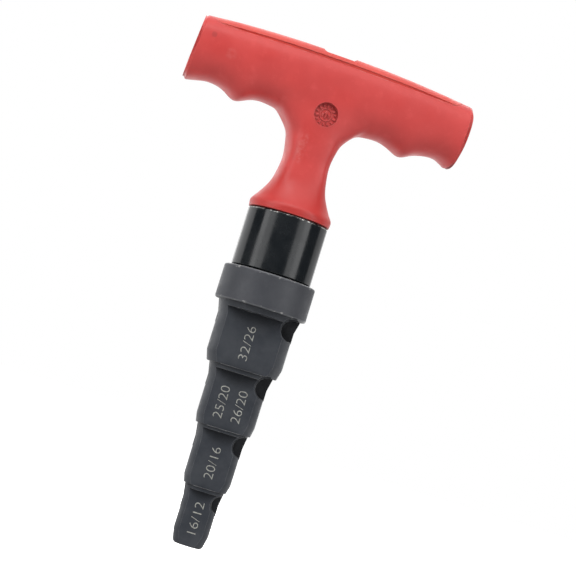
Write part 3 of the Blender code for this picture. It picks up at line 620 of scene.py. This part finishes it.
def make_body():
    body = shown("mandrel_body_fine", lathe("mandrel_body_fine", body_profile()))
    tools = []
    for step in STEPS:
        half = BLADE_HALF + FIT
        tools.append(standing(prism("window", blade_outline(step, FIT), -half, half)))
        floor = BLADE_HALF + 0.04
        pocket_x, pocket_z, size = POCKETS[step.name]
        flat, flat_top = FLATS[step.name]
        for side in (1, -1):
            pocket = pocket_cutter(size, flat - floor + 0.08, step.radius + 3.0)
            quarter = math.pi / 2 if side > 0 else -math.pi / 2
            tools.append(placed(pocket, side * pocket_x, -side * floor, pocket_z, quarter, "X"))
        for low_y, high_y in ((-COLLAR_RADIUS - 2.0, -flat), (flat, COLLAR_RADIUS + 2.0)):
            tools.append(box("flat", (-COLLAR_RADIUS, low_y, step.foot or -1.0),
                             (COLLAR_RADIUS, high_y, flat_top)))
        hole = bored("screw_hole", SCREW_RADIUS + FIT, step.radius)
        tools.append(placed(hole, 0.0, BLADE_HALF - 0.5, blade_z(step), -math.pi / 2, "X"))
    hole = bored("pin_hole", PIN_RADIUS + FIT, COLLAR_RADIUS + 2.0 - PIN_FRONT)
    tools.append(placed(hole, 0.0, PIN_FRONT - FIT, PIN_Z, -math.pi / 2, "X"))
    cut(body, tools)
    turned_to_front(body.data)
    finished(body, 30.0)
    dress(body, BODY_STEEL, "mandrel", "body_steel", "mandrel_body")


def make_blades():
    for step in STEPS:
        name = "cutter_blade_" + step.name
        blade = shown(name + "_fine", standing(prism(name, blade_outline(step), -BLADE_HALF, BLADE_HALF)))
        bevel = blade.modifiers.new("honed", "BEVEL")
        bevel.width, bevel.segments, bevel.limit_method = 0.06 * MM, 2, "ANGLE"
        evaluated(blade)
        turned_to_front(blade.data)
        finished(blade)
        dress(blade, BLADE_STEEL, "mandrel", "blade_steel", name)


def make_blade_screws():
    for step in STEPS:
        start, end = BLADE_HALF + 0.3, FLATS[step.name][0] - SCREW_INSET
        outline = eased([(0.0, start, 0.0), (SCREW_RADIUS - 0.2, start, 0.0),
                         (SCREW_RADIUS, start + 0.25, 0.0), (SCREW_RADIUS, end - 0.3, 0.1),
                         (SCREW_RADIUS - 0.3, end, 0.05), (0.0, end, 0.0)], 3)
        name = "blade_screw_" + step.name
        screw = shown(name + "_fine", lathe(name, outline, 64))
        key = prism("key", polygon(6, SCREW_KEY / 2), end - SCREW_DEPTH, end + 1.0)
        cut(screw, [key])
        placed(screw.data, 0.0, 0.0, blade_z(step), -math.pi / 2, "X")
        turned_to_front(screw.data)
        finished(screw)
        dress(screw, SCREW_STEEL, "mandrel", "fastener_steel", name)


def text_mesh(text):
    """Flat mesh of a text, in the font's own units."""
    curve = bpy.data.curves.new("mark", "FONT")
    curve.body, curve.size, curve.resolution_u = text, 1.0, 6
    curve.offset = MARK_OFFSET
    holder = bpy.data.objects.new("mark_text", curve)
    scene.collection.objects.link(holder)
    bpy.context.view_layer.update()
    mesh = bpy.data.meshes.new_from_object(holder.evaluated_get(bpy.context.evaluated_depsgraph_get()))
    bpy.data.objects.remove(holder)
    return mesh


def make_marks():
    """Etched size numbers that read upwards on the front flats."""
    for index, (text, step_name, across, bottom, length) in enumerate(MARKS):
        mesh = text_mesh(text)
        low = Vector([min(v.co[i] for v in mesh.vertices) for i in (0, 1)])
        high = Vector([max(v.co[i] for v in mesh.vertices) for i in (0, 1)])
        size = Vector((length / (high.x - low.x), MARK_HEIGHT / (high.y - low.y)))
        out = FLATS[step_name][0] + MARK_LIFT
        for vertex in mesh.vertices:
            along, up = (vertex.co.x - low.x) * size.x, (vertex.co.y - low.y) * size.y
            vertex.co = Vector((across + MARK_HEIGHT / 2 - up, -out, bottom + along)) * MM
        mark = shown(f"size_mark_{index + 1}", mesh)
        thick = mark.modifiers.new("thin", "SOLIDIFY")
        thick.thickness, thick.offset = MARK_THICKNESS * MM, 0.0
        evaluated(mark)
        turned_to_front(mark.data)
        mark.data.shade_flat()
        dress(mark, MARK, "mandrel", "body_steel")


# ---------------------------------------------------------------- handle

def superellipse(angle, half_x, half_y, power):
    """A point on a rounded rectangle: power 2 is an ellipse, and higher powers are squarer."""
    c, s = math.cos(angle), math.sin(angle)
    return (math.copysign(abs(c) ** (2 / power), c) * half_x,
            math.copysign(abs(s) ** (2 / power), s) * half_y)


def crown(x, rise=0.0):
    """Height of the bar's top, which falls towards both ends."""
    base = CROWN_Z - CROWN_DROP * (abs(x) / BAR_HALF) ** CROWN_POWER
    return base + rise * max(0.0, 1.0 - (x / STRIP_HALF) ** 2)


def bar_ring(x, bottom, rise, size=1.0, sheet=False):
    """Twelve points round the bar's section, from the lower front corner over the top."""
    ring = []
    for i in range(12):
        y, unit = superellipse(math.radians(225 - 30 * i), BAR_DEPTH, 1.0, BAR_SQUARENESS)
        reach = crown(x, rise) - BAR_Z if unit > 0 else BAR_Z - bottom
        z = BAR_Z + unit * reach
        if sheet and i in (0, 9):
            y, z = math.copysign(FRONT_SHEET, y), bottom + SHEET_RISE
        middle = (crown(x) + bottom) / 2
        y *= size
        draw = 1.0 if z > middle else FOOT_DRAW[x > 0]
        z = middle + (z - middle) * (1.0 - draw * (1.0 - size))
        share = min(1.0, max(0.0, (abs(x) - SLANT_START) / (BAR_HALF - SLANT_START)))
        along = math.copysign(abs(x) - (y + BAR_DEPTH) * END_SLANT[x > 0] * share, x)
        along += (z - BAR_Z) * END_LEAN[x > 0] * share
        ring.append(Vector((along, y, z)))
    return ring


def neck_ring(z, half_width, half_depth, power):
    ring = []
    for i in range(12):
        x, y = superellipse(math.radians(225 + 30 * i), half_width, half_depth, power)
        ring.append(Vector((x, y, z)))
    return ring


def side_stations(side):
    """The bar's rings out from the neck to one end: (x, foot, size, whether it meets the neck)."""
    under = UNDERSIDE[side]
    stations = [(side * NECK_SPREAD, under[0][1], 1.0, True)]
    stations += [(side * x, bottom, 1.0, False) for x, bottom in under]
    return stations + [(side * x, under[-1][1], size, False) for x, size in END_CAP]


def handle_cage(rise):
    """Quad cage of the T: the bar's rings, the neck's rings below its middle, and square caps."""
    left, right = side_stations(-1), side_stations(1)
    stations = left[::-1] + right
    points, quads, rings = [], [], []

    def add(ring):
        rings.append(list(range(len(points), len(points) + len(ring))))
        points.extend(ring)
        return rings[-1]

    for x, bottom, size, sheet in stations:
        add(bar_ring(x, bottom, rise, size, sheet))
    middle = len(right)
    for r in range(len(stations) - 1):
        a, b = rings[r], rings[r + 1]
        open_below = middle - 2 <= r <= middle
        for i in range(12):
            if open_below and i in (9, 10, 11):
                continue
            j = (i + 1) % 12
            quads.append((a[i], a[j], b[j], b[i]))
    hole = [rings[r][0] for r in range(middle - 2, middle + 2)]
    hole += [rings[middle + 1][i] for i in (11, 10)]
    hole += [rings[r][9] for r in range(middle + 1, middle - 3, -1)]
    hole += [rings[middle - 2][i] for i in (10, 11)]
    above = hole
    for z, half_width, half_depth, power in NECK:
        below = add(neck_ring(z, half_width, half_depth, power))
        for i in range(12):
            j = (i + 1) % 12
            quads.append((above[i], above[j], below[j], below[i]))
        above = below
    for ring, flip in ((rings[0], True), (rings[len(stations) - 1], False), (above, True)):
        inner = []
        for u, v in ((1 / 3, 1 / 3), (2 / 3, 1 / 3), (2 / 3, 2 / 3), (1 / 3, 2 / 3)):
            corner = [points[ring[k]] for k in (0, 3, 6, 9)]
            inner.append(len(points))
            points.append(corner[0] * (1 - u) * (1 - v) + corner[1] * u * (1 - v)
                          + corner[2] * u * v + corner[3] * (1 - u) * v)
        a, b, c, d = inner
        r = ring
        patch = [(r[0], r[1], a, r[11]), (r[1], r[2], b, a), (r[2], r[3], r[4], b), (b, r[4], r[5], c),
                 (c, r[5], r[6], r[7]), (d, c, r[7], r[8]), (r[10], d, r[8], r[9]), (r[11], a, d, r[10]),
                 (a, b, c, d)]
        quads += [q[::-1] for q in patch] if flip else patch
    used = sorted({corner for quad in quads for corner in quad})
    place_of = {old: new for new, old in enumerate(used)}
    return [points[old] for old in used], [tuple(place_of[c] for c in quad) for quad in quads]


def fit_cage(points, quads, rounds=25):
    """Move a quad cage so that its subdivided surface passes through the points given."""
    edges, faces = [set() for _ in points], [[] for _ in points]
    for quad in quads:
        for i, corner in enumerate(quad):
            edges[corner].update((quad[i - 1], quad[(i + 1) % 4]))
            faces[corner].append(quad[(i + 2) % 4])
    cage = [p.copy() for p in points]
    for _ in range(rounds):
        moved = []
        for k, point in enumerate(cage):
            n = len(edges[k])
            limit = point * (n * n)
            for other in edges[k]:
                limit += cage[other] * 4
            for other in faces[k]:
                limit += cage[other]
            moved.append(point + (points[k] - limit / (n * (n + 5))) * 0.9)
        cage = moved
    return cage


def handle_form(name, rise):
    """The whole T as one smooth solid, its top raised in the middle by the rise."""
    points, quads = handle_cage(rise)
    form = shown(name, mesh_of(name, fit_cage(points, quads), quads))
    rounding = form.modifiers.new("round", "SUBSURF")
    rounding.levels = rounding.render_levels = 3
    evaluated(form)
    return form


def clock_marks():
    """Raised detail on the floor of the moulding clock: a ring of ticks round a pointer."""
    marks = []
    for i in range(CLOCK_TICKS):
        width, length = (0.26, 1.05) if i % 2 == 0 else (0.2, 0.7)
        low, high = (-width, CLOCK_REACH - length, 0.0), (width, CLOCK_REACH, CLOCK_RELIEF)
        tick = standing(box("tick", low, high))
        tick.transform(Matrix.Rotation(2 * math.pi * i / CLOCK_TICKS, 4, "Y"))
        marks.append(tick)
    inner, outer, low_relief = 1.9, 2.15, CLOCK_RELIEF * 0.6
    dial = [(inner, 0.0), (outer, 0.0), (outer, low_relief), (inner, low_relief)]
    marks.append(standing(lathe("dial", dial, 64, ring=True)))
    arrow = [(-0.17, -1.2), (0.17, -1.2), (0.17, 0.45), (0.55, 0.45), (0.0, 1.3), (-0.55, 0.45),
             (-0.17, 0.45)]
    marks.append(standing(prism("pointer", arrow, 0.0, CLOCK_RELIEF + 0.1)))
    for across in (-1.05, 1.05):
        bar = box("bar", (across - 0.16, -0.75, 0.0), (across + 0.16, 0.3, CLOCK_RELIEF))
        marks.append(standing(bar))
    made = joined("clock_marks", marks)
    made.transform(Matrix.Translation((0.0, (-FRONT_SHEET + CLOCK_DEPTH + 0.05) * MM, CLOCK_Z * MM)))
    return made


def make_grip():
    """The red T, with a tang for the ferrule, and room for the socket insert, the strip and the clock."""
    grip = handle_form("handle_grip_fine", 0.0)
    far = BAR_HALF * 2
    tang = [(0.0, TANG_FOOT), (TANG_RADIUS, TANG_FOOT), (TANG_RADIUS, BASE_Z + 1.0), (0.0, BASE_Z + 1.0)]
    room = standing(lathe("clock_room", [(0.0, -CLOCK_DEPTH), (CLOCK_RADIUS - 0.12, -CLOCK_DEPTH),
                                         (CLOCK_RADIUS + 0.05, 3.0), (0.0, 3.0)], 96))
    placed(room, 0.0, -FRONT_SHEET, CLOCK_Z)
    cut(grip, [box("base_plane", (-far, -far, 90.0), (far, far, BASE_Z))])
    cut(grip, [lathe("tang", tang, 128)], "UNION")
    hexagon = polygon(6, INSERT_HALF + FIT, math.pi / 6)
    insert_room = placed(prism("insert_room", hexagon, TANG_FOOT - 1.0, INSERT_TOP), turn=TURN)
    ledge = prism("strip_ledge", strip_plan(0.1), STRIP_FLOOR - FIT, CROWN_Z + 5.0)
    cut(grip, [ledge, insert_room, room])
    grip.data = joined("handle_grip_fine", [grip.data, clock_marks()])
    finished(grip, 34.0)
    dress(grip, RED, "handle", "red_plastic", "handle_grip")


def strip_plan(grow=0.0):
    """The strip's outline from above."""
    return rounded_outline(STRIP_HALF + grow, STRIP_HALF_WIDTH + grow, STRIP_CORNER + grow)


def cap_groove():
    """Rebate round the strip's sides, so that its rim stands over a shadow groove."""
    steps, low = 96, STRIP_FLOOR + FLANGE
    reach = BAR_HALF * ((CROWN_Z - CAP_HEIGHT - low) / CROWN_DROP) ** (1 / CROWN_POWER)
    top = [(x, crown(x) - CAP_HEIGHT) for x in (reach - 2 * reach * i / steps for i in range(1, steps))]
    side_view = [(-reach, low), (reach, low)] + top
    groove = shown("cap_groove", standing(prism("cap_groove", side_view, -ACROSS, ACROSS)))
    cut(groove, [prism("cap_stem", strip_plan(-CAP_OVERHANG), STRIP_FLOOR - 1.0, CROWN_Z + 5.0)])
    mesh = groove.data
    bpy.data.objects.remove(groove)
    return mesh


def make_strip():
    """The cover along the bar's top, with its shadow groove and lifting notch."""
    strip = handle_form("handle_top_strip_fine", STRIP_RISE)
    cut(strip, [prism("strip_plan", strip_plan(), STRIP_FLOOR, CROWN_Z + 5.0)], "INTERSECT")
    cut(strip, [cap_groove()])
    wide = NOTCH_HALF + NOTCH_EASE
    side_view = [(-wide, 5.0), (-wide, 0.5), (-NOTCH_HALF, 0.0), (NOTCH_HALF, 0.0), (wide, 0.5),
                 (wide, 5.0)]
    dip = standing(prism("lift_notch", side_view, -ACROSS, ACROSS))
    cut(strip, [placed(dip, 0.0, 0.0, crown(0.0, STRIP_RISE) - NOTCH_DEPTH)])
    finished(strip, 34.0)
    dress(strip, STRIP_RED, "handle", "red_plastic", "handle_top_strip")


def make_ferrule():
    bore, face = TANG_RADIUS + FIT, FERRULE_RADIUS - FERRULE_CHAMFER
    outline = eased([(bore, FERRULE_FOOT, 0.0), (bore, FERRULE_TOP, 0.0), (face, FERRULE_TOP, 0.12),
                     (FERRULE_RADIUS, FERRULE_TOP - FERRULE_CHAMFER, 0.12),
                     (FERRULE_RADIUS, FERRULE_FOOT + FERRULE_CHAMFER, 0.12),
                     (face, FERRULE_FOOT, 0.12), (bore, FERRULE_FOOT, 0.0)], 4)[:-1]
    ferrule = shown("ferrule_sleeve_fine", lathe("ferrule_sleeve_fine", outline, 256, ring=True))
    finished(ferrule, 50.0)
    dress(ferrule, SLEEVE, "handle", "sleeve_black", "ferrule_sleeve")


def finish_cad_nodes():
    """Procedural finishes for the CAD nodes that stay."""
    for names, finish in ((("drive_shank", "socket_insert"), DRIVE_STEEL),
                          (("detent_ball", "detent_spring"), BALL_STEEL),
                          (("shank_pin", "tie_bolt", "bolt_washer", "lock_washer"), SCREW_STEEL)):
        for name in names:
            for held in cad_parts[name].material_slots:
                held.material = finish


# ---------------------------------------------------------------- studio

def make_camera():
    """Level with the mandrel, looking slightly up, and rolled so that the tool leans to the right."""
    camera = bpy.data.objects.new("camera", bpy.data.cameras.new("camera"))
    scene.collection.objects.link(camera)
    camera.data.lens, camera.data.sensor_width = CAMERA_LENS, SENSOR_WIDTH
    camera.data.clip_start, camera.data.clip_end = 0.01, 50.0
    spot, target = Vector(CAMERA_SPOT) * MM, Vector(CAMERA_TARGET) * MM
    forward = (target - spot).normalized()
    up = (Vector((0.0, 0.0, 1.0)) - forward * forward.z).normalized()
    right = forward.cross(up)
    across = up * math.sin(CAMERA_ROLL) + right * math.cos(CAMERA_ROLL)
    above = up * math.cos(CAMERA_ROLL) - right * math.sin(CAMERA_ROLL)
    turn = Matrix((across, above, -forward)).transposed().to_4x4()
    camera.matrix_world = Matrix.Translation(spot) @ turn
    scene.camera = camera


def make_floor():
    """Paper that the camera sees as white and that lights the tool mostly from behind."""
    corners = [(x * FLOOR_HALF, y * FLOOR_HALF, FLOOR_Z) for x, y in ((-1, -1), (1, -1), (1, 1), (-1, 1))]
    floor = shown("floor", mesh_of("floor", corners, [(0, 1, 2, 3)]))
    paper = Recipe("pale_floor")
    tone = paper.mix(paper.ramp(paper.noise(6.0), 0.3, 0.7), (0.86, 0.86, 0.86), (0.9, 0.9, 0.9))
    seen = paper.node("ShaderNodeLightPath").outputs["Is Camera Ray"]
    cast = paper.ramp(paper.coordinate(1), 0.02, 0.3, 0.1, 0.6)
    glow = paper.node("ShaderNodeMix", {"Factor": seen, 2: cast, 3: 1.1}, data_type="FLOAT").outputs[0]
    paper.finish(Base_Color=paper.mix(seen, (0.4, 0.4, 0.4), tone), Roughness=0.9,
                 Emission_Color=(1.0, 1.0, 1.0, 1.0), Emission_Strength=glow)
    floor.data.materials.append(paper.material)


def make_world():
    """White to the camera, and only a dim fill to everything else."""
    world = bpy.data.worlds.new("studio")
    scene.world = world
    world.use_nodes = True
    nodes, links = world.node_tree.nodes, world.node_tree.links
    nodes.clear()
    output = nodes.new("ShaderNodeOutputWorld")
    path, switch = nodes.new("ShaderNodeLightPath"), nodes.new("ShaderNodeMixShader")
    links.new(path.outputs["Is Camera Ray"], switch.inputs[0])
    for index, strength in ((1, WORLD_FILL), (2, WORLD_SEEN)):
        sky = nodes.new("ShaderNodeBackground")
        sky.inputs["Color"].default_value = (1.0, 1.0, 1.0, 1.0)
        sky.inputs["Strength"].default_value = strength
        links.new(sky.outputs[0], switch.inputs[index])
    links.new(switch.outputs[0], output.inputs["Surface"])


def make_lamps():
    """Soft boxes that the camera doesn't see, each turned to about the middle of the tool."""
    for name, azimuth, elevation, distance, width, height, watts in LAMPS:
        lamp = bpy.data.lights.new(name, "AREA")
        lamp.shape, lamp.size, lamp.size_y, lamp.energy = "RECTANGLE", width, height, watts
        holder = bpy.data.objects.new(name, lamp)
        scene.collection.objects.link(holder)
        a, e = math.radians(azimuth), math.radians(elevation)
        away = Vector((math.sin(a) * math.cos(e), -math.cos(a) * math.cos(e), math.sin(e)))
        holder.location = Vector(LAMP_AIM) + away * distance
        holder.rotation_mode = "QUATERNION"
        holder.rotation_quaternion = away.to_track_quat("Z", "Y")
        holder.visible_camera = False


make_body()
make_blades()
make_blade_screws()
make_marks()
make_grip()
make_strip()
make_ferrule()
finish_cad_nodes()
bpy.data.collections.remove(CUTTERS)
make_camera()
make_floor()
make_world()
make_lamps()
scene.view_settings.view_transform = "Standard"
